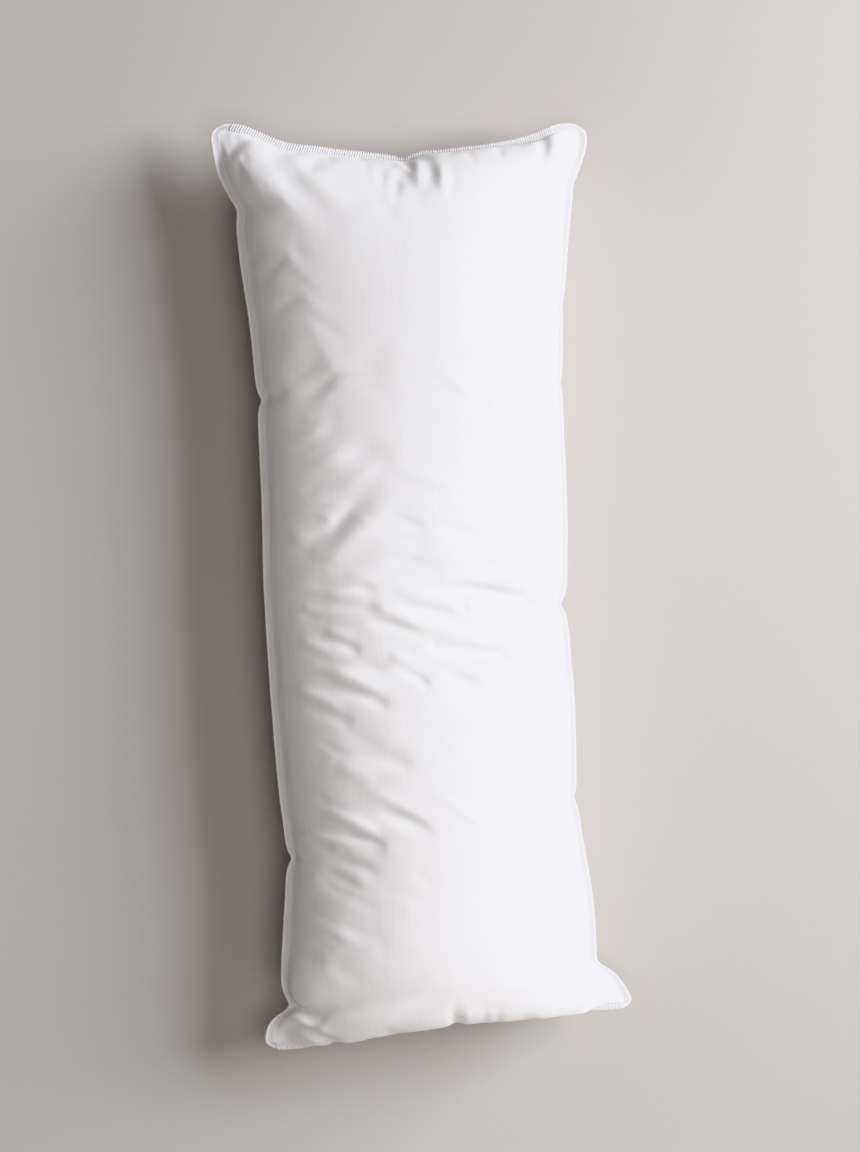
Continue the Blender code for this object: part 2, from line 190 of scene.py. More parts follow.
CREASES = tuple(Fold(*row) for row in (
    # The lip and the puckers that fan out of the middle of the head seam.
    (-20, 533, 6, 503, -1, 3.2, 2.9, 0.6),
    (1, 528, -8, 495, 0, 5, -1.3, 0.4),
    (11, 535, 4, 484, 0, 5.5, 2.2, 0.35),
    (24, 538, 18, 484, 4, 6.5, -2.4, 0.45),
    (35, 528, 32, 470, 3, 7, 2.4, 0.5),
    (47, 519, 44, 470, 0, 6, -1.1, 0.5),
    (-22, 507, -29, 465, 0, 5, -1.4, 0.4),
    (-39, 524, -42, 479, 0, 5, -1.3, 0.4),
    (-55, 532, -58, 496, 0, 5, -0.9, 0.4),
    (-21, 523, -28, 498, 0, 4.5, 1, 0.5),
    (-60, 485, -27, 449, 0, 8, -0.9, 0.5),
    (80, 543, 81, 511, 0, 5, -1.1, 0.4),
    (123, 548, 118, 521, 0, 5, -0.9, 0.4),
    # The left notch, and the sharp end of the trough that comes out of it.
    (-197, 234, -173, 241, 0, 6, -1.8, 0.4),
    (-172, 261, -122, 271, 0, 11, -0.9, 0.55),
    # The narrow end of the diagonal trough.
    (-135, 57, -98, 90, 0, 6, -1.2, 0.5),
    # Creases across the middle, left half, from the top down.
    (-110, -10, -79, -14, 0, 5, -0.8, 0.6),
    (-144, -16, -87, -23, 0, 6.5, 1.7, 0.3),
    (-132, -34, -73, -40, 0, 6, -1.4, 0.7),
    (-170, -33, -142, -37, 0, 4.5, 1.1, 0.3),
    (-173, -45, -148, -47, 0, 4.5, -1, 0.5),
    (-146, -62, -109, -76, 0, 8, 1.5, 0.3),
    (-153, -68, -102, -94, 2, 6, -1.9, 0.75),
    (-176, -73, -131, -100, 2, 6, 1.4, 0.3),
    (-90, -36, -14, -63, 2, 9, 1.7, 0.3),
    (-96, -53, -8, -83, 3, 7, -2.2, 0.5),
    (-110, -106, -72, -116, 0, 6, -0.7, 0.5),
    (-148, -111, -74, -149, 4, 9.5, 2.8, 0.3),
    (-148, -133, -70, -162, 3, 7.5, -2.2, 0.75),
    (-187, -134, -125, -167, 3, 8, 2.1, 0.3),
    (-176, -159, -116, -182, 2, 7.5, -1.7, 0.75),
    (-134, -191, -80, -215, 0, 10, -1, 0.55),
    (-69, -98, -32, -113, 2, 6, 1.3, 0.3),
    (-63, -116, -19, -141, 3, 6, -2.5, 0.75),
    (-7, -122, 44, -143, 0, 7, -2.5, 0.6),
    # Creases across the middle, right half, gathering at the right notch.
    (-21, -21, 147, -51, 10, 6.5, -5, 0.6),
    (12, -9, 144, -30, 7, 8, 2.5, 0.6),
    (-56, -34, 30, -54, 0, 6.5, -2.5, 0.6),
    (26, -36, 33, -54, 0, 4.5, -1.4, 0.5),
    (54, -72, 190, -79, 2, 6.5, -4.2, 0.6),
    (-21, -89, 118, -125, 4, 7, -4.2, 0.5),
    (-10, -77, 96, -98, 4, 9, 2, 0.5),
    (-14, -100, -10, -82, 0, 3.5, -1.4, 0.5),
    (40, 21, 137, -18, 0, 8, -2.1, 0.5),
    (-10, 63, 88, 26, 0, 8, -1.8, 0.5),
    (17, 97, 127, 73, 0, 8, -1.8, 0.5),
    (-66, 81, -8, 49, 2, 7, -1.2, 0.6),
    (-60, 23, 7, 2, 2, 7, -1.2, 0.6),
    (169, -49, 122, -53, 0, 6, -4.2, 0.4),
    # Above the lower left notch.
    (-121, -216, -41, -240, 0, 9, -1.4, 0.55),
    (-141, -234, -90, -253, 2, 10, 1.7, 0.3),
    (-96, -291, -23, -326, 4, 9, -2.7, 0.5),
    # The sharp crease that runs in from the lower left notch, and the one under it.
    (-156, -288, -90, -322, 2, 7.5, 2.5, 0.3),
    (-169, -312, -82, -336, 2, 6, -3.3, 0.75),
    (-185, -319, -129, -331, 2, 5.5, 1.7, 0.3),
    (-192, -330, -144, -336, 1, 5.5, -2.4, 0.75),
    (-126, -334, -84, -349, 0, 6, -0.8, 0.6),
    (-139, -345, -95, -374, 2, 7, -1.3, 0.6),
    (-151, -360, -101, -388, 2, 9, 1, 0.3),
    # Foot end: the folds out of the left ear, and the puckers of the middle pinch.
    (-212, -531, -175, -570, 6, 5, -4.8, 0.5),
    (-223, -553, -135, -598, 2, 5, -6.4, 0.5),
    (-225, -544, -155, -579, 2, 5.5, 3.8, 0.4),
    (-197, -538, -164, -555, 0, 6, -3.8, 0.75),
    (-2, -579, -5, -532, 3, 5, -1.6, 0.3),
    (13, -581, 7, -530, 0, 5, 0.9, 0.4),
    (36, -582, 31, -541, 0, 5, -0.8, 0.4),
    (53, -582, 49, -541, 0, 5, -0.8, 0.4),
    # Foot end: the right ear, where the loose cloth is crumpled.
    (152, -584, 233, -560, 3, 5, -2.3, 0.6),
    (202, -578, 241, -577, 0, 4.5, 1.8, 0.5),
    (210, -531, 238, -568, 0, 5, 1.8, 0.5),
    (204, -520, 215, -582, -3, 5, -3.6, 0.4),
    # The dimple in the right head ear.
    (197, 576, 170, 515, 0, 8, -3.2, 0.45),
))
# Sets of fine wrinkles side by side, from a first one to a last one.  Every second one sinks.
Fan = namedtuple(
    "Fan", "first_x first_y first_end_x first_end_y last_x last_y last_end_x last_end_y count width height"
)
FANS = (
    Fan(-187, -361, -79, -408, -191, -466, -107, -512, 8, 6, 0.5),
    Fan(-191, 457, -116, 395, -167, 353, -100, 291, 6, 8, 0.5),
    Fan(-179, 172, -126, 205, -145, 100, -43, 157, 5, 8, 0.8),
    Fan(4, 93, 141, 50, 4, -158, 126, -186, 8, 6, 1.2),
)
FAN_SEED = 3
FAN_LENGTHS = (0.7, 1.15)  # a wrinkle's length, as shares of the length between its fan's lines
FAN_HEIGHTS = (0.5, 1.3)  # its height and width, as shares of its fan's
FAN_WIDTHS = (0.8, 1.2)
FAN_BOW = 3
FAN_PEAKS = (0.35, 0.65)
# Soft folds of the back, beside those at the notches.
PUCKERS = 9  # along each side
PUCKER_SEED = 7
PUCKER_PLACES = (-500, 480)
PUCKER_DEPTH = 3  # at the most, up or down
PUCKER_INSET = 8  # they start this far inside the rim
PUCKER_RUNS = (50, 120)
PUCKER_LEAN = 35  # how far their inner ends stray along the pillow
PUCKER_WIDTHS = (11, 20)
PUCKER_PEAK = 0.3
# Small random creases over the whole face.
FAINT_CREASES = 90
FAINT_SEED = 11
FAINT_ACROSS = (-165, 160)
FAINT_ALONG = (-90, 200)  # middle and spread of their places along the pillow
FAINT_TURN = math.radians(-14), math.radians(22)  # middle and spread of their directions
FAINT_HALF_LENGTHS = (26, 60)
FAINT_WIDTHS = (5, 13)
FAINT_HEIGHTS = (0.3, 1.1)
FAINT_BOW = 4
FAINT_PEAKS = (0.3, 0.7)
FAINT_FROM = (-130, 60)  # the left is pulled tauter: from here to here across the face ...
FAINT_SHARE = (0.4, 1.2)  # ... they grow from this share of their height to this one
# How folds end, and where they fade.
FOLD_RUN = 0.6  # below 1, a fold keeps its height over more of its run
FOLD_FADE = 16 * MM  # folds flatten out where the face is less than this above the seam
CREASE_FADE = 9 * MM  # those pressed in after the swelling flatten out closer to it
CREASE_AFTER = 0.4  # share of each crease that is pressed in again after the swelling softened it
PUCKER_FADE = 20 * MM  # the back's folds flatten out this close to the ground and to the seam

# ---- Mesh steps ----
# All even, because the back's faces take two steps each way.
BODY_COLUMNS = 80
FOOT_ROWS = 26
MIDDLE_ROWS = 160
HEAD_ROWS = 24
COARSE = 2
EVEN_SHARE = 0.6  # how far the columns are evenly spaced and not crowded to the sides

LENGTH = (HEAD_RIM[0][1] - FOOT_RIM[0][1]) * MM
FOOT_CREST = (END_FLANGE + FOOT_ROLL) / LENGTH
HEAD_CREST = 1 - (END_FLANGE + HEAD_ROLL) / LENGTH
BODY_ROWS = FOOT_ROWS + MIDDLE_ROWS + HEAD_ROWS
FLANGE_STEPS = len(FLANGE_ROWS)
FLANGE_OUT = np.array([out for out, _ in FLANGE_ROWS])

# ---- Cloth simulation ----
CLOTH_SETTINGS = {
    "quality": 6,
    "mass": 0.15,
    "tension_stiffness": 15,
    "compression_stiffness": 15,
    "shear_stiffness": 5,
    "bending_stiffness": 0.05,
    "use_pressure": True,
    "uniform_pressure_force": 4.0,  # of the filling on the cloth
    "shrink_min": -0.012,  # the cloth was cut larger by this share than the shape it starts from
}
CLOTH_FRAMES = 20
CLOTH_CAP = 5 * MM  # no point moves further than this
SWELL_SPAN = 10  # swelling that is broader along the pillow than this many mesh steps is taken back
END_SHARE = 0.14  # over this share of the length at each end it is measured across the pillow instead
END_CALM = 0.6  # share of the crumpling that is taken back at the ends, where the cloth is taut
GROUND_TOUCH = 0.2 * MM  # the back lies on the ground where it is lower than this


def mix(start, end, share):
    """The value that lies a share of the way from start to end."""
    return start + (end - start) * share


def smooth_step(low, high, value):
    """0 below low, 1 above high, and a soft S between them."""
    share = np.clip((value - low) / (high - low), 0, 1)
    return share * share * (3 - 2 * share)


# ---- Outline ----
def smooth_through(rows, places):
    """Read a soft curve that passes through every (place, value) row."""
    at, values = np.array(rows, float).T
    slopes = np.empty_like(values)
    slopes[1:-1] = (values[2:] - values[:-2]) / (at[2:] - at[:-2])
    slopes[0] = (values[1] - values[0]) / (at[1] - at[0])
    slopes[-1] = (values[-1] - values[-2]) / (at[-1] - at[-2])
    step = np.clip(np.searchsorted(at, places, side="right") - 1, 0, len(at) - 2)
    gap = at[step + 1] - at[step]
    rise = values[step + 1] - values[step]
    share = np.clip((places - at[step]) / gap, 0, 1)
    pull_low = slopes[step] * gap - rise
    pull_high = rise - slopes[step + 1] * gap
    return values[step] + share * rise + share * (1 - share) * ((1 - share) * pull_low + share * pull_high)


def rim_line(rows, share):
    """Places along a rim and distances out to it, in metres, a share of the way from its first row to its
    last.  Past its ends it stays at the corner."""
    along = mix(rows[0][0], rows[-1][0], np.clip(share, 0, 1))
    return along * MM, smooth_through(rows, along) * MM


def drag(pinches, along, inside):
    """How far the pinches of a rim drag the cloth inwards, at places along it and distances in from it."""
    total = np.zeros_like(along)
    for pinch in pinches:
        off = np.abs(along / MM - pinch.place) / pinch.half_length
        total += pinch.depth * MM * np.exp(-(off**PINCH_KEEN))
    return total * np.exp(-((inside / PINCH_REACH) ** 2))


def round_tips(across, along):
    """Bend the four corners of the unit square round."""
    to_side = np.minimum(across, 1 - across) * BODY_WIDTH
    to_end = np.minimum(along, 1 - along) * LENGTH
    out_side = 1 - np.clip(to_side / TIP_ROUND, 0, 1)
    out_end = 1 - np.clip(to_end / TIP_ROUND, 0, 1)
    far = np.maximum(np.hypot(out_side, out_end), MM)
    pull = TIP_ROUND * (1 - np.maximum(out_side, out_end) / far) * (far > MM)
    across = across + np.sign(0.5 - across) * out_side * pull / BODY_WIDTH
    along = along + np.sign(0.5 - along) * out_end * pull / LENGTH
    return across, along


def plan_points(across, along):
    """Spread a unit square over the rim's outline: (0, 0) is the left foot ear's tip, (1, 1) the right head
    ear's.  Each point blends the four rims, and takes off what the four corners would count twice."""
    across, along = round_tips(across, along)
    left_y, left_x = rim_line(LEFT_RIM, along)
    right_y, right_x = rim_line(RIGHT_RIM, along)
    foot_x, foot_y = rim_line(FOOT_RIM, across)
    head_x, head_y = rim_line(HEAD_RIM, across)
    rims = ((left_x, right_x, foot_x, head_x), (left_y, right_y, foot_y, head_y))
    blended = []
    for axis, (left, right, foot, head) in enumerate(rims):
        foot_corners = mix(FOOT_RIM[0][axis], FOOT_RIM[-1][axis], across)
        head_corners = mix(HEAD_RIM[0][axis], HEAD_RIM[-1][axis], across)
        counted_twice = mix(foot_corners, head_corners, along) * MM
        blended.append(mix(left, right, across) + mix(foot, head, along) - counted_twice)
    x, y = blended
    from_left = across * BODY_WIDTH
    from_foot = along * LENGTH
    x = x + drag(LEFT_PINCHES, y, from_left) - drag(RIGHT_PINCHES, y, BODY_WIDTH - from_left)
    y = y + drag(FOOT_PINCHES, x, from_foot) - drag(HEAD_PINCHES, x, LENGTH - from_foot)
    return x, y


def cornerness(across, along):
    """1 at the tips of the four ears, fading to 0 a hand's width away."""
    return np.abs(2 * across - 1) ** EAR_POWER_ACROSS * np.abs(2 * along - 1) ** EAR_POWER_ALONG


def tip_filling(x, y):
    """0 at the very corners, where the two panels lie flat on each other, and 1 where the filling is full."""
    corners = (FOOT_RIM[0], FOOT_RIM[-1], HEAD_RIM[0], HEAD_RIM[-1])
    filled = [
        smooth_step(empty, full, np.hypot(x / MM - corner_x, y / MM - corner_y))
        for (corner_x, corner_y), (empty, full) in zip(corners, TIP_FILLINGS)
    ]
    return np.min(filled, axis=0)


def seam_height(x, y, across, along):
    """Height of the seam above the ground.  It droops at the ears and ripples gently."""
    ripple = sum(np.sin(2 * math.pi * (x - WAVE_SLANT * y) / length) for length in WAVE_LENGTHS)
    at_edge = np.maximum(np.abs(2 * across - 1), np.abs(2 * along - 1)) ** WAVE_POWER
    return SEAM_HEIGHT - EAR_DROOP * cornerness(across, along) + FLANGE_WAVE * ripple * at_edge / 2


def roll(turn, tuck):
    """Follow a rounded edge from its seam, turn 0, to its full height, turn 1.  The first value is how far it
    has come in and the second how far it has risen, both as shares.  A tuck starts it under its widest
    line, so that it first swells out past the seam."""
    angle = mix(-tuck, math.pi / 2, turn)
    inset = 1 - np.cos(angle) / np.cos(tuck)
    rise = (np.sin(angle) + np.sin(tuck)) / (1 + np.sin(tuck))
    return inset, rise


def column_places():
    """For each column: place across the pillow from 0 to 1, its side from -1 to 1 at the stitch lines, and
    how far out over the flange it is."""
    even = np.linspace(-1, 1, BODY_COLUMNS + 1)
    side = mix(np.sin(even * math.pi / 2), even, EVEN_SHARE)
    flange = SIDE_FLANGE / BODY_WIDTH
    body = mix(flange, 1 - flange, (1 + side) / 2)
    across = np.concatenate((flange * (1 - FLANGE_OUT[::-1]), body, 1 - flange * (1 - FLANGE_OUT)))
    edge = np.ones(FLANGE_STEPS)
    side = np.concatenate((-edge, side, edge))
    out = np.concatenate((FLANGE_OUT[::-1], np.zeros(BODY_COLUMNS + 1), FLANGE_OUT))
    return across, side, out


def row_places(side):
    """For each row and column: place along the pillow from 0 to 1 and the share of the full crown there, and
    for each row how far out over the flange it is."""
    tuck = FOOT_TUCK * (1 - np.abs(side) ** FOOT_TUCK_POWER)
    flange = END_FLANGE / LENGTH
    flat = np.zeros((FLANGE_STEPS, len(side)))
    foot_turn = np.linspace(0, 1, FOOT_ROWS + 1)[:-1, None]
    foot_inset, foot_rise = roll(foot_turn, tuck[None, :])
    middle = np.linspace(FOOT_CREST, HEAD_CREST, MIDDLE_ROWS + 1)[:, None] + 0 * side
    head_turn = np.linspace(1, 0, HEAD_ROWS + 1)[1:, None]
    head_inset, head_rise = roll(head_turn, 0 * side)
    along = np.concatenate((
        (flange * (1 - FLANGE_OUT[::-1]))[:, None] + flat,
        mix(flange, FOOT_CREST, foot_inset),
        middle,
        mix(1 - flange, HEAD_CREST, head_inset),
        (1 - flange * (1 - FLANGE_OUT))[:, None] + flat,
    ))
    rise = np.concatenate((flat, foot_rise, np.ones_like(middle), head_rise, flat))
    out = np.concatenate((FLANGE_OUT[::-1], np.zeros(BODY_ROWS + 1), FLANGE_OUT))
    return along, rise, out


def panels():
    """Points of the face and the back as (rows, columns, 3) arrays, the height of the face above the seam,
    how far out over the flange each point is, and 1 where the overlocked bands are."""
    across, side, out_side = column_places()
    along, end_rise, out_end = row_places(side)
    across = across[None, :] + 0 * along
    out = np.maximum(out_side[None, :], out_end[:, None])
    x, y = plan_points(across, along)
    seam = seam_height(x, y, across, along)
    filling = tip_filling(x, y) * (1 - EAR_SLIMNESS * cornerness(across, along))
    leaning = side - CROWN_LEAN * (1 - side**2)
    side_rise = (1 - np.abs(leaning) ** FULLNESS) ** (1 / FULLNESS)
    crown = CROWN * smooth_through(CREST, y / MM) * side_rise[None, :] * end_rise * filling
    gap = np.interp(out, *np.array(((0, STITCH_GAP / MM),) + FLANGE_ROWS).T) * MM / 2
    face = np.stack((x, y, seam + gap + crown), axis=-1)
    body_half = BODY_WIDTH / 2 - SIDE_FLANGE
    side_in = np.clip((1 - np.abs(side)) * body_half / (SIDE_LIFT - SIDE_FLANGE), 0, 1)
    side_drop = np.sqrt(1 - (1 - side_in) ** 2)[None, :]
    head_in = np.clip((1 - END_FLANGE / LENGTH - along) * LENGTH / (END_LIFT - END_FLANGE), 0, 1)
    end_drop = np.where(along < 0.5, end_rise, np.sqrt(1 - (1 - head_in) ** 2))
    drop = side_drop * end_drop * filling
    back = np.stack((x, y, (seam - gap) * (1 - drop)), axis=-1)
    first, last = (np.where(along < 0.5, foot, head) for foot, head in zip(FOOT_OVERLOCK, HEAD_OVERLOCK))
    band = (out_end[:, None] > 0) & (x > first) & (x < last)
    return face, back, crown, out, band.astype(float)


# ---- Folds ----
def fold_heights(folds, x, y):
    """How far the folds lift the face at each place, in metres."""
    total = np.zeros_like(x)
    for fold in folds:
        length = math.hypot(fold.x_end - fold.x_start, fold.y_end - fold.y_start)
        run_x = (fold.x_end - fold.x_start) / length
        run_y = (fold.y_end - fold.y_start) / length
        from_x = x / MM - fold.x_start
        from_y = y / MM - fold.y_start
        share = np.clip((from_x * run_x + from_y * run_y) / length, 0, 1)
        bow = fold.bow * 4 * share * (1 - share)
        aside = (from_y * run_x - from_x * run_y - bow) / fold.width
        fullness = smooth_step(0, fold.peak, share) * smooth_step(0, 1 - fold.peak, 1 - share)
        total += fold.height * fullness**FOLD_RUN * np.exp(-(aside**2))
    return total * MM


def faint_creases():
    """Small creases strewn over the face, mostly across it and down to the right, and more in its middle."""
    random = np.random.default_rng(FAINT_SEED)
    folds = []
    for _ in range(FAINT_CREASES):
        x = random.uniform(*FAINT_ACROSS)
        y = random.normal(*FAINT_ALONG)
        turn = random.normal(*FAINT_TURN)
        half = random.uniform(*FAINT_HALF_LENGTHS)
        width = random.uniform(*FAINT_WIDTHS)
        height = random.choice((-1, 1)) * random.uniform(*FAINT_HEIGHTS)
        height *= np.interp(x, FAINT_FROM, FAINT_SHARE)
        run_x, run_y = half * math.cos(turn), half * math.sin(turn)
        bow = random.uniform(-FAINT_BOW, FAINT_BOW)
        peak = random.uniform(*FAINT_PEAKS)
        folds.append(Fold(x - run_x, y - run_y, x + run_x, y + run_y, bow, width, height, peak))
    return tuple(folds)


def fanned_creases():
    """The fine wrinkles of every fan, each a little out of line with the next."""
    random = np.random.default_rng(FAN_SEED)
    folds = []
    for fan in FANS:
        first, last = np.array(fan[:4]), np.array(fan[4:8])
        for place in range(fan.count):
            ends = mix(first, last, place / (fan.count - 1)) + random.normal(0, fan.width / 2, 4)
            ends[2:] = mix(ends[:2], ends[2:], random.uniform(*FAN_LENGTHS))
            height = fan.height * random.uniform(*FAN_HEIGHTS) * (-1) ** place
            bow = random.uniform(-FAN_BOW, FAN_BOW)
            width = fan.width * random.uniform(*FAN_WIDTHS)
            folds.append(Fold(*ends, bow, width, height, random.uniform(*FAN_PEAKS)))
    return tuple(folds)


def back_puckers():
    """Soft folds of the back: a trough out of every notch of the side seams, and more between them."""
    random = np.random.default_rng(PUCKER_SEED)
    folds = []
    for rim, pinches, inwards in ((LEFT_RIM, LEFT_PINCHES, 1), (RIGHT_RIM, RIGHT_PINCHES, -1)):
        places = [(pinch.place, pinch.depth) for pinch in pinches]
        strewn = random.uniform(*PUCKER_PLACES, PUCKERS)
        places += [(place, random.uniform(-PUCKER_DEPTH, PUCKER_DEPTH)) for place in strewn]
        for place, depth in places:
            start = float(smooth_through(rim, np.array(place))) + PUCKER_INSET * inwards
            end_x = start + inwards * random.uniform(*PUCKER_RUNS)
            end_y = place + random.uniform(-PUCKER_LEAN, PUCKER_LEAN)
            width = random.uniform(*PUCKER_WIDTHS)
            folds.append(Fold(start, place, end_x, end_y, 0, width, -depth, PUCKER_PEAK))
    return tuple(folds)


def all_creases():
    """Every crease of the face that is narrow enough to need pressing in again."""
    return CREASES + fanned_creases() + faint_creases()


def unit(vectors):
    """The vectors, each made one long."""
    return vectors / np.maximum(np.linalg.norm(vectors, axis=-1, keepdims=True), TINY)


def normals_of(grid):
    """Unit normals of a grid of points, out of its upper side."""
    return unit(np.cross(np.gradient(grid, axis=1), np.gradient(grid, axis=0)))


# ---- Objects and meshes ----
def add_object(name, data):
    """A new object of the scene."""
    piece = bpy.data.objects.new(name, data)
    bpy.context.collection.objects.link(piece)
    return piece


def evaluated(piece):
    """The object as its modifiers leave it now."""
    return piece.evaluated_get(bpy.context.evaluated_depsgraph_get())


def read(items, name, columns, kind=float):
    """A property of all of a mesh's points or corners, a row for each."""
    values = np.empty(len(items) * columns, dtype=kind)
    items.foreach_get(name, values)
    return values.reshape(-1, columns)


# ---- Shell ----
def cloth_coordinates(grid):
    """Distances over the cloth from the panel's middle, across and along, so that a weave lies evenly."""
    across = np.cumsum(np.linalg.norm(np.diff(grid, axis=1, prepend=grid[:, :1]), axis=-1), axis=1)
    along = np.cumsum(np.linalg.norm(np.diff(grid, axis=0, prepend=grid[:1]), axis=-1), axis=0)
    across -= across[:, across.shape[1] // 2, None]
    along -= along[None, along.shape[0] // 2]
    return np.stack((across, along), axis=-1)


def fine_faces(index):
    """A face for every cell of a grid of points, seen from above."""
    corners = (index[:-1, :-1], index[:-1, 1:], index[1:, 1:], index[1:, :-1])
    return np.stack(corners, axis=-1).reshape(-1, 4).tolist()


def coarse_faces(index):
    """A face for every two by two cells.  Those on the rim keep its middle point too, so that they still meet
    a fine panel there."""
    last_row, last_column = index.shape[0] - 1, index.shape[1] - 1
    faces = []
    for row in range(0, last_row, COARSE):
        for column in range(0, last_column, COARSE):
            low, high = row, row + COARSE
            left, right = column, column + COARSE
            around = [(low, left), (low, left + 1), (low, right), (low + 1, right),
                      (high, right), (high, left + 1), (high, left), (low + 1, left)]
            kept = [
                (r, c) for r, c in around
                if (r % COARSE == 0 and c % COARSE == 0) or r in (0, last_row) or c in (0, last_column)
            ]
            faces.append([int(index[place]) for place in kept])
    return faces


def build_shell(face, back, crown, out, band):
    """Join both panels at the rim into one closed mesh, the back with larger faces than the face.  Returns
    the object and which of the two grids' points it uses."""
    rows, columns = face.shape[:2]
    index = np.arange(rows * columns).reshape(rows, columns)
    lower = index + rows * columns
    faces = fine_faces(index) + [polygon[::-1] for polygon in coarse_faces(lower)]
    rim = np.concatenate((index[0, :-1], index[:-1, -1], index[-1, :0:-1], index[:0:-1, 0]))
    after = np.roll(rim, -1)
    faces += np.stack((rim + rows * columns, after + rows * columns, after, rim), axis=-1).tolist()
    used = np.unique(np.concatenate([np.array(polygon) for polygon in faces]))
    place = np.zeros(2 * rows * columns, dtype=int)
    place[used] = np.arange(len(used))
    points = np.concatenate((face.reshape(-1, 3), back.reshape(-1, 3)))[used]
    mesh = bpy.data.meshes.new("pillow_cloth")
    mesh.from_pydata(points.tolist(), [], [[int(place[corner]) for corner in polygon] for polygon in faces])
    cloth = np.concatenate([cloth_coordinates(panel).reshape(-1, 2) for panel in (face, back)])[used]
    corners = read(mesh.loops, "vertex_index", 1, int)[:, 0]
    layer = mesh.uv_layers.new(name="cloth")
    layer.data.foreach_set("uv", cloth[corners].ravel())
    for name, on_face, on_back in (("flange", out, out), ("band", band, band), ("crown", crown, 0 * crown)):
        layer = mesh.attributes.new(name, "FLOAT", "POINT")
        layer.data.foreach_set("value", np.concatenate((on_face.ravel(), on_back.ravel()))[used])
    return add_object("pillow_cloth", mesh), used


def set_points(mesh, points):
    """Move the mesh's points."""
    mesh.vertices.foreach_set("co", points.ravel())
    mesh.update()


def blurred(grid, axis, span):
    """A grid of vectors, averaged softly along one axis over about `span` steps."""
    reach = 3 * span
    offsets = np.arange(-reach, reach + 1)
    weights = np.exp(-((offsets / span) ** 2) / 2)
    weights /= weights.sum()
    padding = [(0, 0)] * grid.ndim
    padding[axis] = (reach, reach)
    padded = np.pad(grid, padding, mode="edge")
    size = grid.shape[axis]
    shifted = (np.take(padded, range(step, step + size), axis) for step in range(len(weights)))
    return sum(weight * part for weight, part in zip(weights, shifted))


def near_ends(rows):
    """For each of a panel's rows, 1 at the pillow's ends and 0 a hand's width away from them."""
    along = np.linspace(0, 1, rows)
    return smooth_step(1 - 2 * END_SHARE, 1, np.abs(2 * along - 1))[:, None, None]


def form_change(moved, span):
    """The part of a panel's movement that changes the pillow's form and isn't a crease: what stays when it is
    averaged across the ends and along the rest."""
    return mix(blurred(moved, 0, span), blurred(moved, 1, span), near_ends(len(moved)))


def simulated(shell, held):
    """Where the cloth goes under the push of the filling, with the held points kept still."""
    group = shell.vertex_groups.new(name="held")
    group.add(held.tolist(), 1.0, "REPLACE")
    cloth = shell.modifiers.new("swell", "CLOTH")
    cloth.settings.vertex_group_mass = "held"
    for name, value in CLOTH_SETTINGS.items():
        setattr(cloth.settings, name, value)
    cloth.settings.effector_weights.gravity = 0
    cloth.collision_settings.use_collision = False
    for step in range(1, CLOTH_FRAMES + 1):
        bpy.context.scene.frame_set(step)
    after = read(evaluated(shell).data.vertices, "co", 3)
    shell.modifiers.remove(cloth)
    shell.vertex_groups.remove(group)
    return after


def swell(shell, held, used, grid_shape):
    """Crumple the cloth by a short simulation, and keep the pillow's own form and its flat underside."""
    before = read(shell.data.vertices, "co", 3)
    moved = simulated(shell, held) - before
    far = np.linalg.norm(moved, axis=1, keepdims=True)
    moved *= np.minimum(1, CLOTH_CAP / np.maximum(far, CLOTH_CAP * MM))
    grids = np.zeros((2, *grid_shape, 3))
    grids.reshape(-1, 3)[used] = moved
    for panel, span in ((grids[0], SWELL_SPAN), (grids[1, ::COARSE, ::COARSE], SWELL_SPAN // COARSE)):
        panel -= form_change(panel, span)
        panel *= 1 - END_CALM * near_ends(len(panel))
    moved = grids.reshape(-1, 3)[used]
    moved[held] = 0
    after = before + moved
    after[:, 2] = np.maximum(after[:, 2], 0)
    set_points(shell.data, after)


def subdivide(shell):
    """Subdivide the shell once, for good."""
    modifier = shell.modifiers.new("finer", "SUBSURF")
    modifier.levels = modifier.render_levels = 1
    finer = bpy.data.meshes.new_from_object(evaluated(shell))
    shell.modifiers.remove(modifier)
    shell.data = finer


def held_points(out, back, used):
    """The points that the simulation leaves in place: the seam, the flange and the patch on the ground."""
    on_seam = np.zeros(out.shape, bool)
    edge = FLANGE_STEPS + 1
    on_seam[:edge] = on_seam[-edge:] = True
    on_seam[:, :edge] = on_seam[:, -edge:] = True
    on_ground = on_seam | (back[..., 2] < GROUND_TOUCH)
    return np.flatnonzero(np.concatenate((on_seam.ravel(), on_ground.ravel()))[used])


def crease(shell):
    """Sharpen the creases of the finished face, along its own normals."""
    mesh = shell.data
    points = read(mesh.vertices, "co", 3)
    normals = read(mesh.vertices, "normal", 3)
    crown = read(mesh.attributes["crown"].data, "value", 1)[:, 0]
    lift = fold_heights(all_creases(), points[:, 0], points[:, 1]) * CREASE_AFTER
    lift = lift * smooth_step(0, CREASE_FADE, crown)
    set_points(mesh, points + normals * lift[:, None])
    mesh.attributes.remove(mesh.attributes["crown"])


def make_shell(face, back, crown, out, band):
    """The pillow's cloth, creased and swollen."""
    lift = fold_heights(BROAD_FOLDS + all_creases(), face[..., 0], face[..., 1])
    lift = lift * np.clip(crown / FOLD_FADE, 0, 1)
    face = face + normals_of(face) * lift[..., None]
    dent = fold_heights(back_puckers(), back[..., 0], back[..., 1])
    for clear in (back[..., 2], SEAM_HEIGHT - back[..., 2]):
        dent = dent * smooth_step(0, PUCKER_FADE, clear)
    back = back - normals_of(back) * dent[..., None]
    shell, used = build_shell(face, back, crown, out, band)
    swell(shell, held_points(out, back, used), used, out.shape)
    subdivide(shell)
    crease(shell)
    shell.data.shade_smooth()
    return shell


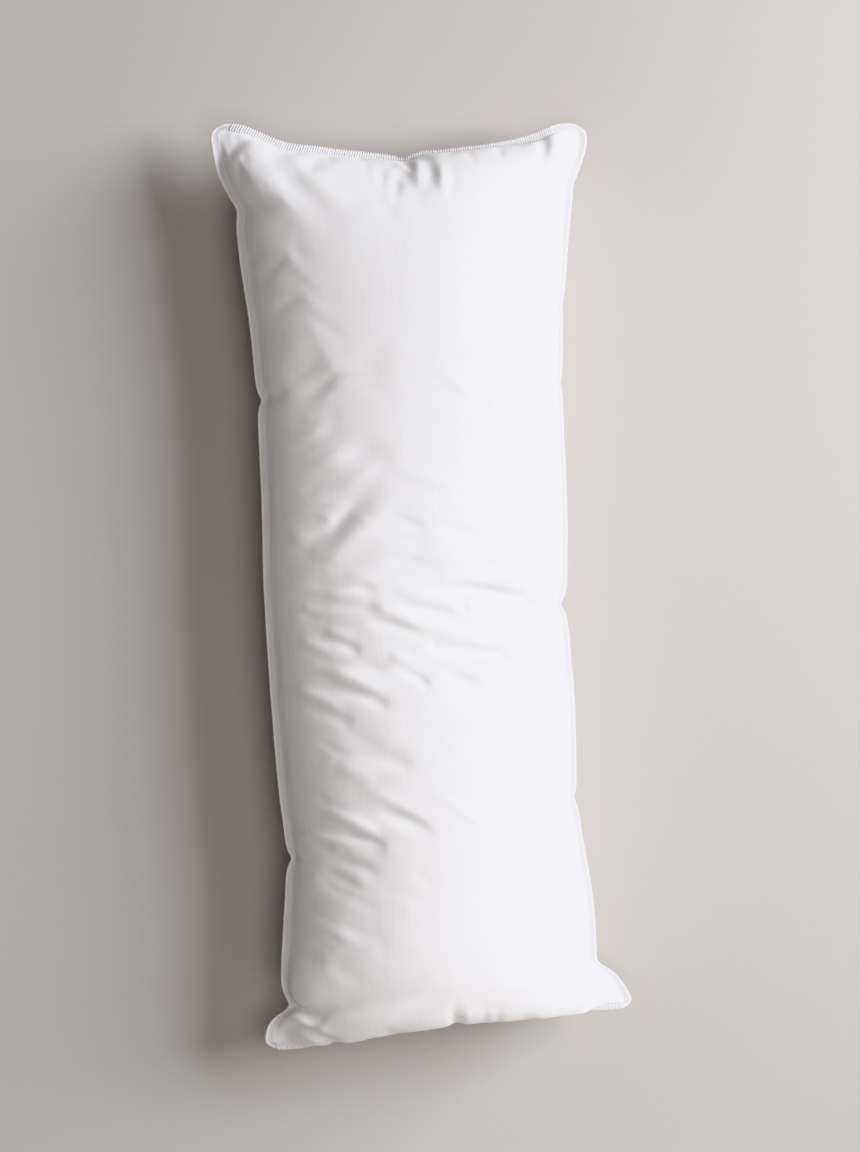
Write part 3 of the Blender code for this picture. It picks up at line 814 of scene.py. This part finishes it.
# ---- Nodes and colours ----
def linear(hex_colour):
    """A colour written as sRGB hex, as linear light."""
    channels = [int(hex_colour[start:start + 2], 16) / 255 for start in (1, 3, 5)]
    return [c / 12.92 if c <= 0.04045 else ((c + 0.055) / 1.055) ** 2.4 for c in channels] + [1.0]


def add_node(tree, kind, links=(), **settings):
    """Add a node.  Settings whose names are sockets set those, and the rest are properties; links are
    (socket, output) pairs."""
    node = tree.nodes.new(kind)
    for name, value in settings.items():
        socket = node.inputs.get(name.replace("_", " "))
        if socket is None:
            setattr(node, name, value)
        else:
            socket.default_value = value
    for socket, output in links:
        tree.links.new(output, node.inputs[socket])
    return node


def empty_material(name):
    """A material with no nodes yet, and its tree."""
    material = bpy.data.materials.new(name)
    material.use_nodes = True
    material.node_tree.nodes.clear()
    return material, material.node_tree


def set_ramp(ramp, places, colours):
    """Set both ends of a colour ramp."""
    for element, place, colour in zip(ramp.color_ramp.elements, places, colours):
        element.position = place
        element.color = linear(colour)


# ---- Sewing ----
THREAD = 0.8 * MM  # radius of the overlock's thread, which is soft and spreads flat
THREAD_SIDES = 5
OVERLOCK_PITCH = 3.2 * MM
OVERLOCK_SLANT = 1.8 * MM  # how far each bar leans along the seam
OVERLOCK_HALF = 4.9 * MM  # from the band's middle out to the edge, and in to the needle's line
BAND_TOP = 1.2 * MM  # the bars' height over the flange's middle, at its turned edge
BAND_INNER = 0.55 * MM  # and at the needle's line
LOCK_THREAD = 0.24 * MM  # radius of the lockstitch's thread
LOCK_PITCH = 3.2 * MM
LOCK_LENGTH = 2.6 * MM
LOCK_OUT = 0.22  # the lockstitch's place over the side flange, as a share of its width
JITTER_SEED = 5
JITTER_LOW = (0.9, 0.96, 0.95)  # the least and the most that a stitch is scaled, each way
JITTER_HIGH = (1.1, 1.03, 1.1)
PROBE_HEIGHT = 0.4  # sewing is dropped onto the cloth from this far above it, in metres
ASIDE = Vector((0.31, 0.17, 1))  # a direction that no thread runs in


def tube(points, radius):
    """A thread through the points: rings of corners and the faces that join them, closed at both ends."""
    points = [Vector(point) for point in points]
    corners, faces = [], []
    for place, point in enumerate(points):
        before = points[max(place - 1, 0)]
        after = points[min(place + 1, len(points) - 1)]
        along = (after - before).normalized()
        across = along.cross(ASIDE).normalized()
        up = across.cross(along)
        for side in range(THREAD_SIDES):
            turn = 2 * math.pi * side / THREAD_SIDES
            corners.append(point + radius * (math.cos(turn) * across + math.sin(turn) * up))
    for ring in range(len(points) - 1):
        for side in range(THREAD_SIDES):
            following = (side + 1) % THREAD_SIDES
            low, high = ring * THREAD_SIDES, (ring + 1) * THREAD_SIDES
            faces.append((low + side, high + side, high + following, low + following))
    faces.append(tuple(range(THREAD_SIDES)))
    faces.append(tuple(reversed(range(len(corners) - THREAD_SIDES, len(corners)))))
    return corners, faces


def joined_mesh(name, parts):
    """One smooth mesh made of several (corners, faces) pairs."""
    corners, faces = [], []
    for more_corners, more_faces in parts:
        faces += [tuple(corner + len(corners) for corner in face) for face in more_faces]
        corners += more_corners
    mesh = bpy.data.meshes.new(name)
    mesh.from_pydata(corners, [], faces)
    mesh.shade_smooth()
    return mesh


def thread_object(name, tubes):
    """One stitch made of several tubes of thread, along X, outwards along Y and facing Z."""
    return bpy.data.objects.new(name, joined_mesh(name, tubes))


def overlock_stitch():
    """A bar from the needle's line out over the edge and back underneath, and the needle's own stitch."""
    lean = OVERLOCK_SLANT / 2
    bar = (
        (-lean, -OVERLOCK_HALF, 0.2 * MM),
        (-lean, -OVERLOCK_HALF, BAND_INNER),
        (0, 0, mix(BAND_INNER, BAND_TOP, 0.6)),
        (lean * 0.7, OVERLOCK_HALF * 0.7, BAND_TOP),
        (lean, OVERLOCK_HALF, BAND_TOP * 0.75),
        (lean, OVERLOCK_HALF * 1.12, 0),
        (lean, OVERLOCK_HALF, -BAND_TOP * 0.75),
        (0, 0, -mix(BAND_INNER, BAND_TOP, 0.6)),
        (-lean, -OVERLOCK_HALF, -BAND_INNER),
    )
    reach = OVERLOCK_PITCH * 0.42
    needle = (
        (-reach, -OVERLOCK_HALF, BAND_INNER - THREAD),
        (-reach / 2, -OVERLOCK_HALF, BAND_INNER + THREAD),
        (reach / 2, -OVERLOCK_HALF, BAND_INNER + THREAD),
        (reach, -OVERLOCK_HALF, BAND_INNER - THREAD),
    )
    return thread_object("overlock_stitch", [tube(bar, THREAD), tube(needle, THREAD)])


def lock_stitch():
    """One stitch of the seam, with both its ends drawn into the cloth."""
    reach = LOCK_LENGTH / 2
    stitch = (
        (-reach, 0, -LOCK_THREAD),
        (-reach * 0.6, 0, LOCK_THREAD * 0.7),
        (reach * 0.6, 0, LOCK_THREAD * 0.7),
        (reach, 0, -LOCK_THREAD),
    )
    return thread_object("lock_stitch", [tube(stitch, LOCK_THREAD)])


def sewing_path(name, points, facing, outward):
    """A line for stitches to follow.  Each of its points carries the way up and the way out of the cloth."""
    mesh = bpy.data.meshes.new(name)
    edges = [(place, place + 1) for place in range(len(points) - 1)]
    mesh.from_pydata(np.asarray(points).tolist(), edges, [])
    for attribute, vectors in (("facing", facing), ("outward", outward)):
        layer = mesh.attributes.new(attribute, "FLOAT_VECTOR", "POINT")
        layer.data.foreach_set("vector", np.asarray(vectors, dtype=float).ravel())
    return bpy.data.objects.new(name, mesh)


def stitching_tree():
    """Put one stitch at every pitch along a path, turned to lie on the cloth."""
    tree = bpy.data.node_groups.new("stitching", "GeometryNodeTree")
    sockets = {}
    for name, kind in (("Path", "Geometry"), ("Stitch", "Object"), ("Pitch", "Float"), ("Seed", "Int"),
                       ("Thread", "Material")):
        sockets[name] = tree.interface.new_socket(name, in_out="INPUT", socket_type="NodeSocket" + kind)
    tree.interface.new_socket("Stitching", in_out="OUTPUT", socket_type="NodeSocketGeometry")
    given = add_node(tree, "NodeGroupInput").outputs
    curve = add_node(tree, "GeometryNodeMeshToCurve", [("Mesh", given["Path"])])
    places = add_node(
        tree, "GeometryNodeResampleCurve", [("Curve", curve.outputs["Curve"]), ("Length", given["Pitch"])],
        mode="LENGTH",
    )
    facing = add_node(tree, "GeometryNodeInputNamedAttribute", data_type="FLOAT_VECTOR", Name="facing")
    outward = add_node(tree, "GeometryNodeInputNamedAttribute", data_type="FLOAT_VECTOR", Name="outward")
    turned = add_node(
        tree, "FunctionNodeAxesToRotation",
        [("Primary Axis", outward.outputs["Attribute"]), ("Secondary Axis", facing.outputs["Attribute"])],
        primary_axis="Y", secondary_axis="Z",
    )
    uneven = add_node(
        tree, "FunctionNodeRandomValue", [("Seed", given["Seed"])],
        data_type="FLOAT_VECTOR", Min=JITTER_LOW, Max=JITTER_HIGH,
    )
    stitch = add_node(tree, "GeometryNodeObjectInfo", [("Object", given["Stitch"])])
    laid = add_node(
        tree, "GeometryNodeInstanceOnPoints",
        [("Points", places.outputs["Curve"]), ("Instance", stitch.outputs["Geometry"]),
         ("Rotation", turned.outputs["Rotation"]), ("Scale", uneven.outputs["Value"])],
    )
    real = add_node(tree, "GeometryNodeRealizeInstances", [("Geometry", laid.outputs["Instances"])])
    dressed = add_node(
        tree, "GeometryNodeSetMaterial",
        [("Geometry", real.outputs["Geometry"]), ("Material", given["Thread"])],
    )
    add_node(tree, "NodeGroupOutput", [("Stitching", dressed.outputs["Geometry"])])
    return tree, {name: socket.identifier for name, socket in sockets.items()}


def sew(name, paths, stitch, pitch, thread, tree, identifiers):
    """One finished run of stitching over several paths, as a plain mesh."""
    parts = []
    for path in paths:
        bpy.context.collection.objects.link(path)
        modifier = path.modifiers.new("stitching", "NODES")
        modifier.node_group = tree
        modifier[identifiers["Stitch"]] = stitch
        modifier[identifiers["Pitch"]] = pitch
        modifier[identifiers["Seed"]] = JITTER_SEED
        modifier[identifiers["Thread"]] = thread
        sewn = bpy.data.meshes.new_from_object(evaluated(path))
        corners = [tuple(corner.co) for corner in sewn.vertices]
        parts.append((corners, [tuple(face.vertices) for face in sewn.polygons]))
        bpy.data.objects.remove(path)
        bpy.data.meshes.remove(sewn)
    mesh = joined_mesh(name, parts)
    mesh.materials.append(thread)
    return add_object(name, mesh)


def band_path(name, face, back, rim, stitch_row, reach):
    """The middle of an end's overlocked band, from the panels' rows at the rim and at the stitch line."""
    inside = slice(FLANGE_STEPS, -FLANGE_STEPS)
    outer = (face[rim, inside] + back[rim, inside]) / 2
    inner = (face[stitch_row, inside] + back[stitch_row, inside]) / 2
    middle = (outer + inner) / 2
    outward = unit(outer - inner)
    facing = unit(np.cross(np.gradient(middle, axis=0), outward))
    facing *= np.sign(facing[:, 2:])
    kept = (middle[:, 0] > reach[0]) & (middle[:, 0] < reach[1])
    return sewing_path(name, middle[kept], facing[kept], outward[kept])


def seam_path(tree, face, column, side, above):
    """The lockstitch of one side, laid on the finished cloth: from the panel's columns at the stitch line and
    just outside it."""
    inside = slice(FLANGE_STEPS + 1, -FLANGE_STEPS - 1)
    line = mix(face[inside, column], face[inside, column - side], LOCK_OUT / FLANGE_ROWS[0][0])
    points, facing = [], []
    for x, y, _ in line:
        start = Vector((x, y, above * PROBE_HEIGHT))
        place, normal, _, _ = tree.ray_cast(start, Vector((0, 0, -above)))
        points.append(place)
        facing.append(normal)
    outward = np.tile((-side, 0.0, 0.0), (len(points), 1))
    return sewing_path("side_line", points, facing, outward)


# ---- Materials ----
CLOTH_WHITE = "#F5F6F9"
SLUB_WHITE = "#F0F1F4"  # where the yarn is thicker and casts its own small shade
FLANGE_PAINTED_SHADE = "#CFCFD5"  # painted shade: two thin layers with no filling behind them let some light through, so the flange is drawn greyer
BAND_SHADE = "#E4E4E9"  # between the overlock's threads the drawn-in cloth lies in their shade
THREAD_SHADE = "#ECECF0"  # painted shade of the plies' hollows, against THREAD_WHITE on their tops
THREAD_WHITE = "#FBFBFD"
PLY_LENGTH = 1.11 * MM  # from one hollow of the twisted thread to the next
SLUB_WIDTH = 1.8 * MM  # the yarn's uneven places, drawn about three yarns wide so that they show
SLUB_LENGTH = 85 * MM  # along the warp
WEFT_LENGTH = 60 * MM  # along the weft
WEFT_SHARE = 0.22  # of the slubs, because the weft's are flatter
SLUB_RANGE = (0.3, 0.6)  # of the slubs' noise, from the thick yarn's shade to the plain cloth
WEAVE_PITCH = 1.4 * MM  # a real down-proof cambric has about 0.4 mm, too fine to show here
WEAVE_SHARE = 0.06  # the weave's relief, as a share of the slubs'
SLUB_RELIEF = 0.025 * MM
FLANGE_THIN = (0.0, 0.3)  # shares of the flange's width over which its painted grey shade comes in ...
FLANGE_SHARE = 0.75  # ... to this much of it ...
FLANGE_BEAD = (0.68, 0.8)  # ... and goes again at the turned edge, which is thicker
CLOTH_SHEEN = 0.25
CLOTH_ROUGHNESS = 0.82
GLOW = 0.15  # light that enters the thin white cloth and filling and comes out again
GLOW_REACH = 6 * MM


def cotton():
    """Down-proof cotton cambric: a dense plain weave, bleached and calendered.  It is a matt, cool white with
    a faint sheen, and uneven yarns show in it as fine streaks that run its length."""
    material, tree = empty_material("bleached_cotton_cambric")
    place = add_node(tree, "ShaderNodeUVMap", uv_map="cloth").outputs["UV"]
    streaks = []
    for across, along in ((SLUB_WIDTH, SLUB_LENGTH), (WEFT_LENGTH, SLUB_WIDTH)):
        scaled = add_node(tree, "ShaderNodeMapping", [("Vector", place)], Scale=(1 / across, 1 / along, 1))
        noise = add_node(
            tree, "ShaderNodeTexNoise", [("Vector", scaled.outputs["Vector"])],
            noise_dimensions="2D", Scale=1.0, Detail=3.0, Roughness=0.6,
        )
        streaks.append(noise.outputs["Fac"])
    warp, weft = streaks
    turns = 2 * math.pi / WEAVE_PITCH
    threads = add_node(tree, "ShaderNodeMapping", [("Vector", place)], Scale=(turns, turns, 1))
    split = add_node(tree, "ShaderNodeSeparateXYZ", [("Vector", threads.outputs["Vector"])])
    waves = [
        add_node(tree, "ShaderNodeMath", [(0, split.outputs[axis])], operation="SINE").outputs["Value"]
        for axis in ("X", "Y")
    ]
    weave = add_node(tree, "ShaderNodeMath", [(0, waves[0]), (1, waves[1])], operation="MULTIPLY")
    yarns = add_node(
        tree, "ShaderNodeMix", [("A", warp), ("B", weft)], data_type="FLOAT", Factor=WEFT_SHARE
    ).outputs["Result"]
    tint = add_node(tree, "ShaderNodeValToRGB", [("Fac", yarns)])
    set_ramp(tint, SLUB_RANGE, (SLUB_WHITE, CLOTH_WHITE))
    flange = add_node(tree, "ShaderNodeAttribute", attribute_name="flange").outputs["Fac"]
    thin, before_bead = (
        add_node(
            tree, "ShaderNodeMapRange", [("Value", flange)],
            From_Min=low, From_Max=high, To_Min=start, To_Max=end,
        ).outputs["Result"]
        for (low, high), start, end in ((FLANGE_THIN, 0.0, FLANGE_SHARE), (FLANGE_BEAD, 1.0, 0.0))
    )
    painted_see_through_shade = add_node(tree, "ShaderNodeMath", [(0, thin), (1, before_bead)], operation="MULTIPLY")
    # Painted shade: over the thin flange the cloth's colour is mixed toward grey, for the light that passes
    # through it.
    colour = add_node(
        tree, "ShaderNodeMixRGB", [("Fac", painted_see_through_shade.outputs["Value"]), ("Color1", tint.outputs["Color"])],
        Color2=linear(FLANGE_PAINTED_SHADE),
    )
    relief = add_node(
        tree, "ShaderNodeMath", [(0, weave.outputs["Value"]), (2, yarns)], operation="MULTIPLY_ADD"
    )
    relief.inputs[1].default_value = WEAVE_SHARE
    bump = add_node(
        tree, "ShaderNodeBump", [("Height", relief.outputs["Value"])], Strength=1.0, Distance=SLUB_RELIEF
    )
    band = add_node(tree, "ShaderNodeAttribute", attribute_name="band").outputs["Fac"]
    colour = add_node(
        tree, "ShaderNodeMixRGB", [("Fac", band), ("Color1", colour.outputs["Color"])],
        Color2=linear(BAND_SHADE),
    )
    shader = add_node(
        tree, "ShaderNodeBsdfPrincipled",
        [("Base Color", colour.outputs["Color"]), ("Normal", bump.outputs["Normal"])],
        Roughness=CLOTH_ROUGHNESS, Sheen_Weight=CLOTH_SHEEN, Sheen_Roughness=0.5,
        Subsurface_Weight=GLOW, Subsurface_Scale=GLOW_REACH,
    )
    shader.inputs["Subsurface Radius"].default_value = (1.0, 0.95, 0.9)
    add_node(tree, "ShaderNodeOutputMaterial", [("Surface", shader.outputs["BSDF"])])
    return material


def sewing_thread():
    """Mercerised cotton thread: two plies with a soft gloss, a touch whiter than the cloth."""
    material, tree = empty_material("mercerised_cotton_thread")
    place = add_node(tree, "ShaderNodeTexCoord").outputs["Object"]
    # Painted shade: the thread's colour darkens at random over each ply's length, for the shade in the
    # hollows of its twist.
    noise = add_node(tree, "ShaderNodeTexNoise", [("Vector", place)], Scale=1 / PLY_LENGTH, Detail=1.0)
    tint = add_node(tree, "ShaderNodeValToRGB", [("Fac", noise.outputs["Fac"])])
    set_ramp(tint, (0, 1), (THREAD_SHADE, THREAD_WHITE))
    shader = add_node(
        tree, "ShaderNodeBsdfPrincipled", [("Base Color", tint.outputs["Color"])],
        Roughness=0.55, Sheen_Weight=0.2,
    )
    add_node(tree, "ShaderNodeOutputMaterial", [("Surface", shader.outputs["BSDF"])])
    return material


# ---- Camera, light and floor ----
CAMERA_DISTANCE = 2.5
CAMERA_YAW = math.radians(12)  # the camera stands this far to the left of straight over the face
CAMERA_ROLL = math.radians(3)  # the pillow leans this far to the left in the picture
PICTURE_SCALE = 0.0013  # metres for each of the picture's pixels at the seam
PICTURE_HEIGHT = 1152
SENSOR = 36.0
AXIS_RIGHT = 6  # the picture's middle lies this many pixels right of the pillow's
AXIS_DOWN = 1  # and this many below it
FLOOR_SIZE = 16
FLOOR_GREY = "#BDB8B3"
AIR_COLOUR = "#E6DACF"  # of the light that comes from all round
AIR_STRENGTH = 0.14
LAMP_AIM = (0, 0, 0.1)  # the middle of the pillow
FOOT_AIM = (0, -0.5, 0.1)
# Square soft boxes: size in metres and power in watts.
Lamp = namedtuple("Lamp", "name place aim size power colour")
LAMPS = (
    Lamp("key", (3.4, 0.9, 2.33), LAMP_AIM, 2.6, 279, "#F9FAFF"),
    Lamp("fill", (-0.2, -0.3, 3.0), LAMP_AIM, 1.8, 31, "#FFF9F4"),
    # What a pale floor throws back onto the foot end.
    Lamp("bounce", (0.1, -1.35, 0.5), FOOT_AIM, 0.8, 1.8, "#FFF8F2"),
)


def add_camera():
    """The camera, looking at the face from a little to its left, with the pillow leaning in the picture."""
    camera = bpy.data.cameras.new("camera")
    camera.sensor_fit = "VERTICAL"
    camera.sensor_height = SENSOR
    camera.lens = CAMERA_DISTANCE / PICTURE_SCALE / PICTURE_HEIGHT * SENSOR
    back = Vector((-math.sin(CAMERA_YAW), 0, math.cos(CAMERA_YAW)))
    right = Vector((0, 1, 0)).cross(back)
    turn = Matrix.Rotation(-CAMERA_ROLL, 3, back)
    right = turn @ right
    up = turn @ Vector((0, 1, 0))
    place = Matrix((right, up, back)).transposed().to_4x4()
    place.translation = (
        back * CAMERA_DISTANCE
        + Vector((0, 0, SEAM_HEIGHT))
        + right * AXIS_RIGHT * PICTURE_SCALE
        - up * AXIS_DOWN * PICTURE_SCALE
    )
    holder = add_object("camera", camera)
    holder.matrix_world = place
    bpy.context.scene.camera = holder


def add_lamp(lamp):
    """One soft box, turned to what it lights."""
    light = bpy.data.lights.new(lamp.name, "AREA")
    light.shape = "SQUARE"
    light.size = lamp.size
    light.energy = lamp.power
    light.color = linear(lamp.colour)[:3]
    holder = add_object(lamp.name, light)
    holder.location = lamp.place
    holder.rotation_euler = (Vector(lamp.aim) - Vector(lamp.place)).to_track_quat("-Z", "Y").to_euler()


def add_floor():
    """A plain painted floor, just under the pillow."""
    bpy.ops.mesh.primitive_plane_add(size=FLOOR_SIZE, location=(0, 0, -MM))
    floor = bpy.context.object
    floor.name = "floor"
    material = bpy.data.materials.new("floor_paint")
    material.use_nodes = True
    shader = material.node_tree.nodes["Principled BSDF"]
    shader.inputs["Base Color"].default_value = linear(FLOOR_GREY)
    shader.inputs["Roughness"].default_value = 0.9
    floor.data.materials.append(material)


def add_light():
    """The soft boxes, and a faint light from all round."""
    world = bpy.data.worlds.new("studio")
    world.use_nodes = True
    air = world.node_tree.nodes["Background"].inputs
    air["Color"].default_value = linear(AIR_COLOUR)
    air["Strength"].default_value = AIR_STRENGTH
    bpy.context.scene.world = world
    for lamp in LAMPS:
        add_lamp(lamp)
    bpy.context.scene.view_settings.view_transform = "Khronos PBR Neutral"


face, back, crown, out, band = panels()
shell = make_shell(face, back, crown, out, band)
shell.data.materials.append(cotton())
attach(shell, "root")
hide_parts(NODE)

thread = sewing_thread()
stitching, identifiers = stitching_tree()
surface = BVHTree.FromObject(shell, bpy.context.evaluated_depsgraph_get())
side_paths = [
    seam_path(surface, face, column, side, above)
    for column, side in ((FLANGE_STEPS, 1), (-FLANGE_STEPS - 1, -1))
    for above in (1, -1)
]
overlock, lock = overlock_stitch(), lock_stitch()
sewn = (
    sew("overlock_head", [band_path("head_line", face, back, -1, -1 - FLANGE_STEPS, HEAD_OVERLOCK)],
        overlock, OVERLOCK_PITCH, thread, stitching, identifiers),
    sew("overlock_foot", [band_path("foot_line", face, back, 0, FLANGE_STEPS, FOOT_OVERLOCK)],
        overlock, OVERLOCK_PITCH, thread, stitching, identifiers),
    sew("lockstitch_sides", side_paths, lock, LOCK_PITCH, thread, stitching, identifiers),
)
for piece in sewn:
    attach(piece, "root")
for stitch in (overlock, lock):
    bpy.data.meshes.remove(stitch.data)

add_camera()
add_floor()
add_light()
